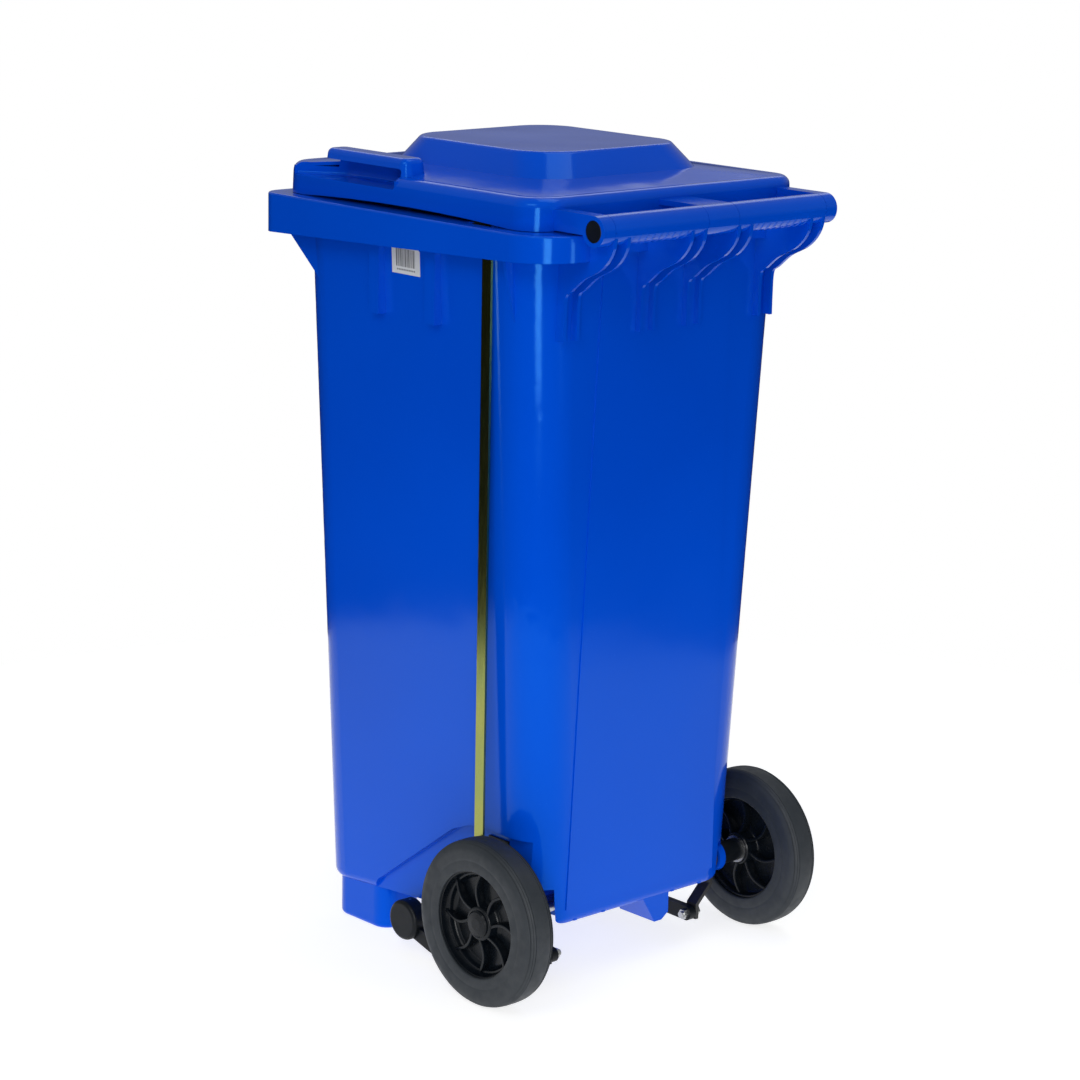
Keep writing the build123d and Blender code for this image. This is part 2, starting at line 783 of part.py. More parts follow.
with BuildPart() as striker_screws:
    for y in (-6, 6):
        with BuildSketch(Plane.XY.offset(lid_low_z + 0.2)) as head:
            with Locations((striker_post_x, hinge_y - striker_post_reach + y)):
                Circle(screw_head_radius)
        extrude(head.sketch.face(), amount=screw_head_height)
        with BuildSketch(Plane.XY.offset(lid_low_z + 0.2)) as shank:
            with Locations((striker_post_x, hinge_y - striker_post_reach + y)):
                Circle(screw_radius)
        extrude(shank.sketch.face(), amount=16)
striker_screws.part.label = "striker_screws"
export_step(striker_screws.part, "parts/striker_screws.step")

# ---- wheels ----
wheel_plane = Plane(origin=(0, axle_y, axle_z), x_dir=(1, 0, 0), z_dir=(0, -1, 0))
wheel_axis = Axis((0, axle_y, axle_z), (1, 0, 0))
mid_x = wheel_outer_x - wheel_width / 2

with BuildPart() as tyre:
    with BuildSketch(wheel_plane) as section:
        with BuildLine():
            Polyline(
                (wheel_inner_x, wheel_radius - 12),
                (wheel_inner_x, tyre_lip_radius),
                (wheel_inner_x + tyre_lip, tyre_lip_radius),
                (wheel_inner_x + tyre_lip, tyre_seat_radius + fixed_gap),
                (wheel_outer_x - tyre_lip, tyre_seat_radius + fixed_gap),
                (wheel_outer_x - tyre_lip, tyre_lip_radius),
                (wheel_outer_x, tyre_lip_radius),
                (wheel_outer_x, wheel_radius - 12),
            )
            ThreePointArc(
                (wheel_outer_x, wheel_radius - 12),
                (wheel_outer_x - 2.6, wheel_radius - 4.6),
                (wheel_outer_x - 9, wheel_radius - 0.8),
            )
            ThreePointArc(
                (wheel_outer_x - 9, wheel_radius - 0.8),
                (mid_x, wheel_radius),
                (wheel_inner_x + 9, wheel_radius - 0.8),
            )
            ThreePointArc(
                (wheel_inner_x + 9, wheel_radius - 0.8),
                (wheel_inner_x + 2.6, wheel_radius - 4.6),
                (wheel_inner_x, wheel_radius - 12),
            )
        make_face()
        for index in range(groove_count):
            offset_x = mid_x - wheel_inner_x - 6.5 - index * groove_pitch
            with Locations((mid_x - offset_x, wheel_radius), (mid_x + offset_x, wheel_radius)):
                Rectangle(groove_size, 2 * groove_size + 1, mode=Mode.SUBTRACT)
    revolve(section.sketch, axis=wheel_axis)

boss_inner_x = wheel_inner_x - 1.5
boss_outer_x = wheel_outer_x - 8
clip_seat_x = wheel_outer_x - 18.5
with BuildSketch() as fin:
    with BuildLine():
        ThreePointArc(
            (hub_boss_radius - 2, 0),
            (tyre_seat_radius / 2 + 6, 4),
            (tyre_seat_radius - 4, 0),
        )
    trace(line_width=hub_fin_thick)
fin_face = fin.sketch
with BuildPart() as hub:
    with BuildSketch(wheel_plane) as section:
        with BuildLine():
            Polyline(
                (boss_inner_x, axle_radius + running_gap),
                (boss_inner_x, hub_boss_radius),
                (mid_x - 6, hub_boss_radius + 1.5),
                (mid_x - 5, hub_boss_radius + 6),
                (mid_x - 5, tyre_seat_radius - 8),
                (wheel_inner_x + tyre_lip + 0.4, tyre_seat_radius - 5),
                (wheel_inner_x + tyre_lip + 0.4, tyre_seat_radius),
                (wheel_outer_x - tyre_lip - 0.4, tyre_seat_radius),
                (wheel_outer_x - tyre_lip - 0.4, tyre_seat_radius - 5),
                (mid_x + 4, tyre_seat_radius - 9),
                (mid_x, tyre_seat_radius - 14),
                (mid_x, hub_boss_radius + 6),
                (boss_outer_x - 5, hub_boss_radius + 1),
                (boss_outer_x, hub_boss_radius - 1),
                (boss_outer_x, cap_radius + fixed_gap),
                (clip_seat_x, cap_radius + fixed_gap),
                (clip_seat_x, axle_radius + running_gap),
                close=True,
            )
        make_face()
    revolve(section.sketch, axis=wheel_axis)
    for start_x, length in ((mid_x - 1, 12.5), (mid_x - 4, -10.5)):
        fin_plane = Plane(origin=(start_x, axle_y, axle_z), x_dir=(0, 1, 0), z_dir=(1, 0, 0))
        with BuildSketch(fin_plane) as fins:
            with PolarLocations(0, hub_fins):
                add(fin_face)
        extrude(fins.sketch, amount=length)

with BuildPart() as hub_cap:
    with BuildSketch(wheel_plane) as section:
        with BuildLine():
            Polyline(
                (boss_outer_x + 4.5, 0),
                (axle_half_length + 1, 0),
                (axle_half_length + 1, cap_radius),
                (boss_outer_x, cap_radius),
                (boss_outer_x, cap_radius + 2),
                (boss_outer_x + 1.6, cap_radius + 2),
                (boss_outer_x + 3.4, cap_radius),
                (boss_outer_x + 4.5, cap_radius / 2),
                close=True,
            )
        make_face()
    revolve(section.sketch, axis=wheel_axis)

for side in sides:
    for kind, piece in (("tyre_", tyre.part), ("hub_", hub.part), ("hub_cap_", hub_cap.part)):
        name = kind + side_names[side]
        placed = piece if side > 0 else mirror(piece, about=Plane.YZ)
        placed.label = name
        export_step(placed, "parts/" + name + ".step")

# ---- axle with its sleeves, washers and clips ----
with BuildPart() as axle:
    extrude(disc(axle_radius, 0, axle_y, axle_z), amount=axle_half_length, both=True)
    chamfer(axle.faces().filter_by(Axis.X).edges(), length=1.5)
axle.part.label = "axle"
export_step(axle.part, "parts/axle.step")

hole_radius = axle_radius + fixed_gap
washer_x = boss_inner_x - 2.3
for side in sides:
    name = "axle_spacer_" + side_names[side]
    with BuildPart() as spacer:
        sleeve = disc(spacer_radius, side * cheek_x, axle_y, axle_z, hole_radius)
        extrude(sleeve, amount=side * (washer_x - cheek_x))
    spacer.part.label = name
    export_step(spacer.part, "parts/" + name + ".step")

with BuildPart() as axle_washers:
    for side in sides:
        extrude(disc(spacer_radius + 3, side * washer_x, axle_y, axle_z, hole_radius), amount=side * 2)
axle_washers.part.label = "axle_washers"
export_step(axle_washers.part, "parts/axle_washers.step")

with BuildPart() as axle_clips:
    for side in sides:
        ring = disc(cap_radius - 0.8, side * (clip_seat_x + 0.7), axle_y, axle_z, hole_radius)
        extrude(ring, amount=side * 2)
axle_clips.part.label = "axle_clips"
export_step(axle_clips.part, "parts/axle_clips.step")

# ---- pedal: shaft, lever, arm and foot pad ----
with BuildPart() as pedal_shaft:
    extrude(disc(shaft_radius, shaft_left_x, shaft_y, shaft_z), amount=shaft_right_x - shaft_left_x)
    chamfer(pedal_shaft.faces().filter_by(Axis.X).edges(), length=1)
    for x in (0, lever_inner_x + lever_plate / 2):
        with BuildSketch(Plane.XY.offset(shaft_z - 20)) as cross:
            with Locations((x, shaft_y)):
                Circle(roll_pin_radius + fixed_gap / 2)
        extrude(cross.sketch.face(), amount=40, mode=Mode.SUBTRACT)
pedal_shaft.part.label = "pedal_shaft"
export_step(pedal_shaft.part, "parts/pedal_shaft.step")

with BuildPart() as rod_lever:
    lever_points = [
        (shaft_y, shaft_z + 12),
        (shaft_y + 24, shaft_z - 6),
        (shaft_y + 70, shaft_z - 15),
        (lever_pin_y, lever_pin_z + lever_end_radius),
        (lever_pin_y, lever_pin_z - lever_end_radius),
        (shaft_y + 76, lever_pin_z - lever_end_radius),
        (shaft_y + 44, shaft_z - 30),
        (shaft_y + 16, shaft_z - 22),
        (shaft_y, shaft_z - 18),
    ]
    extrude(outline_face(lever_points, 0, lever_inner_x), amount=lever_plate)
    extrude(disc(lever_end_radius, lever_inner_x, lever_pin_y, lever_pin_z), amount=lever_plate)
    boss = disc(lever_boss_radius, lever_inner_x - 2, shaft_y, shaft_z)
    extrude(boss, amount=lever_boss_outer_x - lever_inner_x + 2)
    outer_face = rod_lever.faces().sort_by(Axis.X)[-1]
    fillet(outer_face.edges(), radius=5)
    bore = disc(shaft_radius + fixed_gap, lever_inner_x - 4, shaft_y, shaft_z)
    extrude(bore, amount=shaft_right_x - lever_inner_x + 4 + side_gap, mode=Mode.SUBTRACT)
    pin_hole = disc(lever_pin_radius + fixed_gap, lever_inner_x - 4, lever_pin_y, lever_pin_z)
    extrude(pin_hole, amount=lever_plate + 8, mode=Mode.SUBTRACT)
    with BuildSketch(Plane.XY.offset(shaft_z - 30)) as cross:
        with Locations((lever_inner_x + lever_plate / 2, shaft_y)):
            Circle(roll_pin_radius + fixed_gap / 2)
    extrude(cross.sketch.face(), amount=60, mode=Mode.SUBTRACT)
rod_lever.part.label = "rod_lever"
export_step(rod_lever.part, "parts/rod_lever.step")

with BuildPart() as lever_pin:
    extrude(disc(lever_pin_radius, lever_inner_x, lever_pin_y, lever_pin_z), amount=lever_pin_length)
    extrude(disc(lever_pin_radius + 2, lever_inner_x, lever_pin_y, lever_pin_z), amount=-2.5)
    chamfer(lever_pin.faces().sort_by(Axis.X)[-1].edges(), length=1)
lever_pin.part.label = "lever_pin"
export_step(lever_pin.part, "parts/lever_pin.step")

plate_z = pedal_z - pedal_pad
with BuildPart() as pedal_arm:
    sleeve = disc(arm_sleeve_radius, 0, shaft_y, shaft_z)
    extrude(sleeve, amount=arm_width / 2 + 2, both=True)
    arm_points = [
        (shaft_y + 3, shaft_z + 6),
        (pedal_y + 22, plate_z - 1),
        (pedal_y + 13, plate_z - 8),
        (shaft_y - 3, shaft_z - 6),
    ]
    extrude(outline_face(arm_points), amount=arm_width / 2, both=True)
    with BuildSketch(Plane.XY.offset(plate_z - pedal_plate)) as plate:
        with Locations((0, pedal_y)):
            RectangleRounded(pedal_width - 14, pedal_depth - 10, 5)
        with Locations(*[(x, pedal_y - 8) for x in (-28, 28)]):
            Circle(screw_radius + fixed_gap, mode=Mode.SUBTRACT)
    extrude(plate.sketch.face(), amount=pedal_plate)
    bore = disc(shaft_radius + fixed_gap, 0, shaft_y, shaft_z)
    extrude(bore, amount=arm_width, both=True, mode=Mode.SUBTRACT)
    with BuildSketch(Plane.XY.offset(shaft_z - 20)) as cross:
        with Locations((0, shaft_y)):
            Circle(roll_pin_radius + fixed_gap / 2)
    extrude(cross.sketch.face(), amount=40, mode=Mode.SUBTRACT)
pedal_arm.part.label = "pedal_arm"
export_step(pedal_arm.part, "parts/pedal_arm.step")

with BuildPart() as pedal_tread:
    with BuildSketch(Plane.XY.offset(plate_z)) as pad:
        with Locations((0, pedal_y)):
            RectangleRounded(pedal_width, pedal_depth, 9)
    extrude(pad.sketch.face(), amount=pedal_pad)
    fillet(pedal_tread.faces().sort_by(Axis.Z)[-1].edges(), radius=3)
    with BuildSketch(Plane.XY.offset(pedal_z - 1.8)) as grooves:
        with GridLocations(0, 7, 1, 6):
            with Locations((0, pedal_y)):
                SlotOverall(pedal_width - 16, 3)
    extrude(grooves.sketch, amount=4, mode=Mode.SUBTRACT)
    with BuildSketch(Plane.XY.offset(plate_z)) as holes:
        with Locations(*[(x, pedal_y - 8) for x in (-28, 28)]):
            Circle(screw_radius + fixed_gap)
    extrude(holes.sketch, amount=7, mode=Mode.SUBTRACT)
pedal_tread.part.label = "pedal_tread"
export_step(pedal_tread.part, "parts/pedal_tread.step")

with BuildPart() as tread_screws:
    for x in (-28, 28):
        for radius, start, length in (
            (screw_head_radius, plate_z - pedal_plate - screw_head_height, screw_head_height),
            (screw_radius, plate_z - pedal_plate, pedal_plate + 6),
        ):
            with BuildSketch(Plane.XY.offset(start)) as shape:
                with Locations((x, pedal_y - 8)):
                    Circle(radius)
            extrude(shape.sketch.face(), amount=length)
tread_screws.part.label = "tread_screws"
export_step(tread_screws.part, "parts/tread_screws.step")

with BuildPart() as shaft_collars:
    for side in sides:
        start = side * (carrier_x - carrier_thick / 2 - side_gap)
        ring = disc(collar_ring_radius, start, shaft_y, shaft_z, shaft_radius + fixed_gap)
        extrude(ring, amount=-side * collar_ring_width)
shaft_collars.part.label = "shaft_collars"
export_step(shaft_collars.part, "parts/shaft_collars.step")

with BuildPart() as roll_pins:
    for x, reach in (
        (0, arm_sleeve_radius - 0.5),
        (lever_inner_x + lever_plate / 2, lever_boss_radius - 0.5),
    ):
        with BuildSketch(Plane.XY.offset(shaft_z - reach)) as pin:
            with Locations((x, shaft_y)):
                Circle(roll_pin_radius)
        extrude(pin.sketch.face(), amount=2 * reach)
roll_pins.part.label = "roll_pins"
export_step(roll_pins.part, "parts/roll_pins.step")

# ---- carriers under the tub and the straps that hang them on the axle ----
for side in sides:
    inner_face_x = side * (carrier_x - carrier_thick / 2)
    name = "carrier_" + side_names[side]
    with BuildPart() as carrier:
        top_z = carrier_low_z + carrier_height
        bar = [
            (shaft_y, carrier_low_z + 4),
            (shaft_y, top_z + 4),
            (tab_front_y, top_z + 2),
            (tab_front_y, carrier_pad_z - 1),
            (tab_rear_y, carrier_pad_z - 1),
            (tab_rear_y, top_z),
            (axle_y, top_z),
            (axle_y, carrier_low_z),
        ]
        extrude(outline_face(bar, 0, inner_face_x), amount=side * carrier_thick)
        for radius, y, z in (
            (shaft_radius + 8, shaft_y, shaft_z),
            (carrier_height / 2, axle_y, carrier_low_z + carrier_height / 2),
        ):
            extrude(disc(radius, inner_face_x, y, z), amount=side * carrier_thick)
        with BuildSketch(Plane.XY.offset(carrier_pad_z - tab_thick)) as tab:
            with Locations((side * carrier_x, (tab_front_y + tab_rear_y) / 2)):
                RectangleRounded(tab_width, tab_rear_y - tab_front_y, 4)
            with Locations(*[(side * x, y) for x, y in tab_holes]):
                Circle(carrier_bolt_radius + fixed_gap, mode=Mode.SUBTRACT)
        extrude(tab.sketch.face(), amount=tab_thick)
        eye = disc(shaft_radius + running_gap, inner_face_x - side, shaft_y, shaft_z)
        extrude(eye, amount=side * (carrier_thick + 2), mode=Mode.SUBTRACT)
        bolt_hole = disc(
            hanger_bolt_radius + fixed_gap, inner_face_x - side, axle_y, carrier_low_z + carrier_height / 2
        )
        extrude(bolt_hole, amount=side * (carrier_thick + 2), mode=Mode.SUBTRACT)
    carrier.part.label = name
    export_step(carrier.part, "parts/" + name + ".step")

    name = "hanger_" + side_names[side]
    strap_x = carrier_x + carrier_thick / 2
    bend = hanger_x - strap_x
    with BuildPart() as hanger:
        with BuildSketch(Plane.XZ.offset(-(axle_y + hanger_width / 2))) as strap:
            with BuildLine():
                Polyline(
                    (side * strap_x, carrier_low_z + 1),
                    (side * strap_x, carrier_low_z + carrier_height + 3),
                    (side * hanger_x, carrier_low_z + carrier_height + 3 + bend),
                    (side * hanger_x, axle_z),
                    (side * (hanger_x + hanger_thick), axle_z),
                    (side * (hanger_x + hanger_thick), carrier_low_z + carrier_height + 1 + bend),
                    (side * (strap_x + hanger_thick), carrier_low_z + carrier_height + 1),
                    (side * (strap_x + hanger_thick), carrier_low_z + 1),
                    close=True,
                )
            make_face()
        extrude(strap.sketch.face(), amount=hanger_width)
        eye = disc(hanger_width, side * hanger_x, axle_y, axle_z)
        extrude(eye, amount=side * hanger_thick)
        hole = disc(axle_radius + fixed_gap, side * (hanger_x - 1), axle_y, axle_z)
        extrude(hole, amount=side * (hanger_thick + 2), mode=Mode.SUBTRACT)
        bolt_hole = disc(
            hanger_bolt_radius + fixed_gap, side * (strap_x - 1), axle_y, carrier_low_z + carrier_height / 2
        )
        extrude(bolt_hole, amount=side * (hanger_thick + 2), mode=Mode.SUBTRACT)
    hanger.part.label = name
    export_step(hanger.part, "parts/" + name + ".step")

with BuildPart() as hanger_bolts:
    for side in sides:
        z = carrier_low_z + carrier_height / 2
        head_x = carrier_x + carrier_thick / 2 + hanger_thick
        with BuildSketch(Plane.YZ.offset(side * head_x)) as head:
            with Locations((axle_y, z)):
                RegularPolygon(6.5, 6)
        extrude(head.sketch.face(), amount=side * 5)
        shank = disc(hanger_bolt_radius, side * head_x, axle_y, z)
        extrude(shank, amount=-side * (hanger_thick + carrier_thick + 9))
hanger_bolts.part.label = "hanger_bolts"
export_step(hanger_bolts.part, "parts/hanger_bolts.step")

with BuildPart() as hanger_nuts:
    for side in sides:
        z = carrier_low_z + carrier_height / 2
        with BuildSketch(Plane.YZ.offset(side * (carrier_x - carrier_thick / 2))) as nut:
            with Locations((axle_y, z)):
                RegularPolygon(6.5, 6)
                Circle(hanger_bolt_radius + fixed_gap, mode=Mode.SUBTRACT)
        extrude(nut.sketch.face(), amount=-side * 6)
hanger_nuts.part.label = "hanger_nuts"
export_step(hanger_nuts.part, "parts/hanger_nuts.step")

with BuildPart() as carrier_bolts:
    for side in sides:
        for x, y in tab_holes:
            with BuildSketch(Plane.XY.offset(carrier_pad_z - tab_thick)) as head:
                with Locations((side * x, y)):
                    RegularPolygon(5, 6)
            extrude(head.sketch.face(), amount=-4)
            with BuildSketch(Plane.XY.offset(carrier_pad_z - tab_thick)) as shank:
                with Locations((side * x, y)):
                    Circle(carrier_bolt_radius)
            extrude(shank.sketch.face(), amount=tab_thick + carrier_bolt_grip)
carrier_bolts.part.label = "carrier_bolts"
export_step(carrier_bolts.part, "parts/carrier_bolts.step")

# ---- push rod with its shoe, rivets and guide ----
rod_lean_x = (rod_top_x - rod_low_x) / (rod_reference_z - rod_low_z)
rod_lean_y = (rod_top_y - rod_low_y) / (rod_reference_z - rod_low_z)
rod_along = Vector(rod_lean_x, rod_lean_y, 1).normalized()
rod_out = Vector(1, 0, -rod_lean_x).normalized()
rod_end = Vector(rod_x(rod_end_z), rod_y(rod_end_z), rod_end_z)
rod_plane = Plane(origin=rod_end, x_dir=rod_along.cross(rod_out), z_dir=rod_out)
rod_bottom = -(rod_end_z - shoe_rest_z) / rod_along.Z

with BuildPart() as push_rod:
    with BuildSketch(rod_plane) as outline:
        with BuildLine():
            Polyline(
                (rod_width / 2, -rod_width / 2),
                (rod_width / 2, rod_bottom + shoe_thick),
                (-rod_width / 2, rod_bottom + shoe_thick),
                (-rod_width / 2, -rod_width / 2),
            )
            ThreePointArc((-rod_width / 2, -rod_width / 2), (0, 0), (rod_width / 2, -rod_width / 2))
        make_face()
        with Locations(*[(0, rod_bottom + shoe_thick + y) for y in (9, 24)]):
            Circle(rivet_radius + fixed_gap, mode=Mode.SUBTRACT)
    extrude(outline.sketch.face(), amount=-rod_thick)
push_rod.part.label = "push_rod"
export_step(push_rod.part, "parts/push_rod.step")

with BuildPart() as rod_shoe:
    with BuildSketch(rod_plane) as sole:
        with Locations((0, rod_bottom + shoe_thick / 2)):
            Rectangle(shoe_length, shoe_thick)
    extrude(sole.sketch.face(), amount=-rod_thick - shoe_thick)
    with BuildSketch(rod_plane.offset(-rod_thick)) as flange:
        with Locations((0, rod_bottom + shoe_thick)):
            Rectangle(rod_width, shoe_flange, align=(Align.CENTER, Align.MIN))
        with Locations(*[(0, rod_bottom + shoe_thick + y) for y in (9, 24)]):
            Circle(rivet_radius + fixed_gap, mode=Mode.SUBTRACT)
    extrude(flange.sketch.face(), amount=-2.5)
rod_shoe.part.label = "rod_shoe"
export_step(rod_shoe.part, "parts/rod_shoe.step")

with BuildPart() as rod_rivets:
    for y in (9, 24):
        for radius, start, length in (
            (rivet_head_radius, 0, rivet_head),
            (rivet_radius, 0, -rod_thick - 2.5),
        ):
            with BuildSketch(rod_plane.offset(start)) as shape:
                with Locations((0, rod_bottom + shoe_thick + y)):
                    Circle(radius)
            extrude(shape.sketch.face(), amount=length)
rod_rivets.part.label = "rod_rivets"
export_step(rod_rivets.part, "parts/rod_rivets.step")

with BuildPart() as rod_guide:
    guide_y = rod_y(guide_z)
    with BuildSketch(Plane.XY.offset(guide_z - guide_thick / 2)) as shelf:
        with Locations((cheek_x, guide_y)):
            Rectangle(guide_outer_x - cheek_x, 2 * guide_half_length, align=(Align.MIN, Align.CENTER))
        fillet(shelf.vertices().group_by(Axis.X)[-1], 6)
        with Locations((rod_x(guide_z) + guide_gap, guide_y)):
            Rectangle(
                rod_thick + 2 * guide_gap,
                rod_width + 2 * guide_gap,
                align=(Align.MAX, Align.CENTER),
                mode=Mode.SUBTRACT,
            )
    extrude(shelf.sketch.face(), amount=guide_thick)
    with BuildSketch(Plane.YZ.offset(cheek_x)) as base:
        with Locations((guide_y, guide_z - guide_thick / 2)):
            Rectangle(2 * guide_half_length, 24, align=(Align.CENTER, Align.MIN))
        with Locations(*guide_screw_places):
            Circle(guide_screw_radius + fixed_gap, mode=Mode.SUBTRACT)
    extrude(base.sketch.face(), amount=3)
rod_guide.part.label = "rod_guide"
export_step(rod_guide.part, "parts/rod_guide.step")

with BuildPart() as guide_screws:
    for y, z in guide_screw_places:
        extrude(disc(guide_screw_radius * 1.9, cheek_x + 3, y, z), amount=2.5)
        extrude(disc(guide_screw_radius, cheek_x + 3, y, z), amount=-9)
guide_screws.part.label = "guide_screws"
export_step(guide_screws.part, "parts/guide_screws.step")

# ---- label on the right side wall ----
label_out = Vector(1, 0, -tan(radians(lean))).normalized()
label_origin = (half_width(label_centre_z), label_centre_y, label_centre_z)
label_plane = Plane(origin=label_origin, x_dir=(0, 1, 0), z_dir=label_out)
with BuildPart() as label:
    with BuildSketch(label_plane) as outline:
        Rectangle(label_width, label_height)
    extrude(outline.sketch.face(), amount=label_thick)
label.part.label = "label"
export_step(label.part, "parts/label.step")
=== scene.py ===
# %% [markdown]
# # A two-wheeled refuse bin with a foot pedal
# The bin's shape comes ready made, as a frame of solid parts in metres. This lesson gives
# those parts their finishes and models what a plain solid lacks: tyres with fine grooves,
# hubs with curved fins, the ribbed grips on the rear tube, and the printed bars of a label.

# %% Load the frame
from math import radians, sin, cos, pi, tau

import bpy
from mathutils import Matrix, Vector


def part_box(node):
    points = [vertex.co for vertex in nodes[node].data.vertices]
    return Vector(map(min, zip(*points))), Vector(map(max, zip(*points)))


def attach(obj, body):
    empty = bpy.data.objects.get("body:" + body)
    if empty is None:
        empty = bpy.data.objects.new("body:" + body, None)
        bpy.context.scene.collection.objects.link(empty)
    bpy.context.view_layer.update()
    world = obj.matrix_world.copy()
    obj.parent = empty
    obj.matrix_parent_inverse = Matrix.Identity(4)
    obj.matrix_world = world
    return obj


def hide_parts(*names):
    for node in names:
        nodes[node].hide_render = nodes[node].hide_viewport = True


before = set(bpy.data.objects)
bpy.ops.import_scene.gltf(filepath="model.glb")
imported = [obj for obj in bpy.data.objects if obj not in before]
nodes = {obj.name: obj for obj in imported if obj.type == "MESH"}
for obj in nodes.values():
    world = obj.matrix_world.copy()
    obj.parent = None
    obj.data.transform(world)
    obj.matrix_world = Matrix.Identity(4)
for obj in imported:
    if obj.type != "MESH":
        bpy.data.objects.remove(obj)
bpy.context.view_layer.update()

# %% [markdown]
# ## Camera
# A long lens from a few metres away keeps the tall sides nearly parallel. The camera is set by
# its place and three angles, because a camera that is aimed by hand is hard to repeat.

# %% Set up the camera
CAMERA_PLACE = Vector((2.5603, 2.7599, 1.3912))
CAMERA_TURN = radians(137.372)
CAMERA_TILT = radians(13.326)
CAMERA_ROLL = radians(1.188)
LENS_MM = 106.2

flat = cos(CAMERA_TILT)
forward = Vector((-sin(CAMERA_TURN) * flat, cos(CAMERA_TURN) * flat, -sin(CAMERA_TILT)))
level = forward.cross(Vector((0, 0, 1))).normalized()
upright = level.cross(forward)
right = cos(CAMERA_ROLL) * level + sin(CAMERA_ROLL) * upright
up = -sin(CAMERA_ROLL) * level + cos(CAMERA_ROLL) * upright

bpy.ops.object.camera_add()
camera = bpy.context.object
camera.name = "camera"
camera.matrix_world = Matrix.Translation(CAMERA_PLACE) @ Matrix((right, up, -forward)).transposed().to_4x4()
camera.data.lens = LENS_MM
camera.data.sensor_width = 36
camera.data.clip_start = 0.1
camera.data.clip_end = 60
bpy.context.scene.camera = camera
print("camera at", tuple(round(value, 3) for value in CAMERA_PLACE))

# %% [markdown]
# ## Floor and light
# Upright glossy walls that are seen from a little above mirror the floor, so the floor is a
# pale round sheet: the low part of each wall mirrors it, and the high part mirrors the dark
# beyond its edge. A soft bright sky lights the bin from above. One tall soft box near the camera
# and a smaller one beside the rear give the corners their glints, and three more fill the rest.

# %% Lay the floor
FLOOR_RADIUS = 1.45

bpy.ops.object.select_all(action="DESELECT")
bpy.ops.mesh.primitive_circle_add(
    vertices=128, radius=FLOOR_RADIUS, fill_type="NGON", location=(0, 0, -0.0003)
)
floor = bpy.context.object
floor.name = "floor"
bpy.ops.object.transform_apply(location=True, rotation=True, scale=True)
floor_paint = bpy.data.materials.new("pale paper floor")
floor_paint.use_nodes = True
floor_shader = floor_paint.node_tree.nodes["Principled BSDF"]
floor_shader.inputs["Base Color"].default_value = (0.5, 0.5, 0.5, 1)
floor_shader.inputs["Roughness"].default_value = 0.9
floor_shader.inputs["Specular IOR Level"].default_value = 0.1
floor_shader.inputs["Emission Color"].default_value = (1, 1, 1, 1)
floor_shader.inputs["Emission Strength"].default_value = 0.76
floor.data.materials.append(floor_paint)
print("floor radius", FLOOR_RADIUS)

# %% Light the sky
SKY_HIGH = 0.36
SKY_LOW = 0.015
BACKDROP = 1.0

world = bpy.data.worlds.new("soft studio")
bpy.context.scene.world = world
world.use_nodes = True
sky = world.node_tree
sky.nodes.clear()
sky_out = sky.nodes.new("ShaderNodeOutputWorld")
sky_mix = sky.nodes.new("ShaderNodeMixShader")
sky_path = sky.nodes.new("ShaderNodeLightPath")
backdrop = sky.nodes.new("ShaderNodeBackground")
backdrop.inputs["Color"].default_value = (1, 1, 1, 1)
backdrop.inputs["Strength"].default_value = BACKDROP
surround = sky.nodes.new("ShaderNodeBackground")
surround.inputs["Color"].default_value = (0.93, 0.97, 1.0, 1)
direction = sky.nodes.new("ShaderNodeTexCoord")
height = sky.nodes.new("ShaderNodeSeparateXYZ")
fade = sky.nodes.new("ShaderNodeMapRange")
fade.inputs["From Min"].default_value = -0.05
fade.inputs["From Max"].default_value = 0.17
fade.inputs["To Min"].default_value = SKY_LOW
fade.inputs["To Max"].default_value = SKY_HIGH
sky.links.new(direction.outputs["Generated"], height.inputs["Vector"])
sky.links.new(height.outputs["Z"], fade.inputs["Value"])
sky.links.new(fade.outputs["Result"], surround.inputs["Strength"])
sky.links.new(sky_path.outputs["Is Camera Ray"], sky_mix.inputs["Fac"])
sky.links.new(surround.outputs["Background"], sky_mix.inputs[1])
sky.links.new(backdrop.outputs["Background"], sky_mix.inputs[2])
sky.links.new(sky_mix.outputs["Shader"], sky_out.inputs["Surface"])
bpy.context.scene.view_settings.view_transform = "Standard"
print("sky", SKY_HIGH, "above and", SKY_LOW, "below")

# %% Add the soft boxes
def soft_box(name, place, target, width, height, watts):
    """A rectangular lamp that looks at a point and isn't seen by the camera itself."""
    bpy.ops.object.light_add(type="AREA", location=place)
    lamp = bpy.context.object
    lamp.name = name
    lamp.data.shape = "RECTANGLE"
    lamp.data.size = width
    lamp.data.size_y = height
    lamp.data.energy = watts
    lamp.rotation_euler = (Vector(target) - Vector(place)).to_track_quat("-Z", "Y").to_euler()
    lamp.visible_camera = False
    return lamp

soft_box("corner soft box", (1.72, 1.72, 0.72), (0, 0, 0.50), 0.60, 1.25, 20)
soft_box("window soft box", (-0.25, 2.45, 0.75), (0, 0, 0.60), 0.30, 0.80, 4)
soft_box("high soft box", (2.6, 1.1, 2.6), (0, 0, 0.4), 1.6, 1.2, 22)
soft_box("front soft box", (-2.3, -2.5, 2.9), (0, 0, 0.9), 3.0, 1.3, 12)
soft_box("top soft box", (-0.6, 0.4, 3.2), (0, 0, 0.4), 1.6, 1.6, 14)
print("five soft boxes")

# %% [markdown]
# ## A bench for making finishes
# Every finish starts from the same few nodes: the object's own coordinates in metres, some
# noise at a real scale, and one shader. Small helpers keep each recipe readable. Values that
# are the same all over sit on the shader's own sockets.

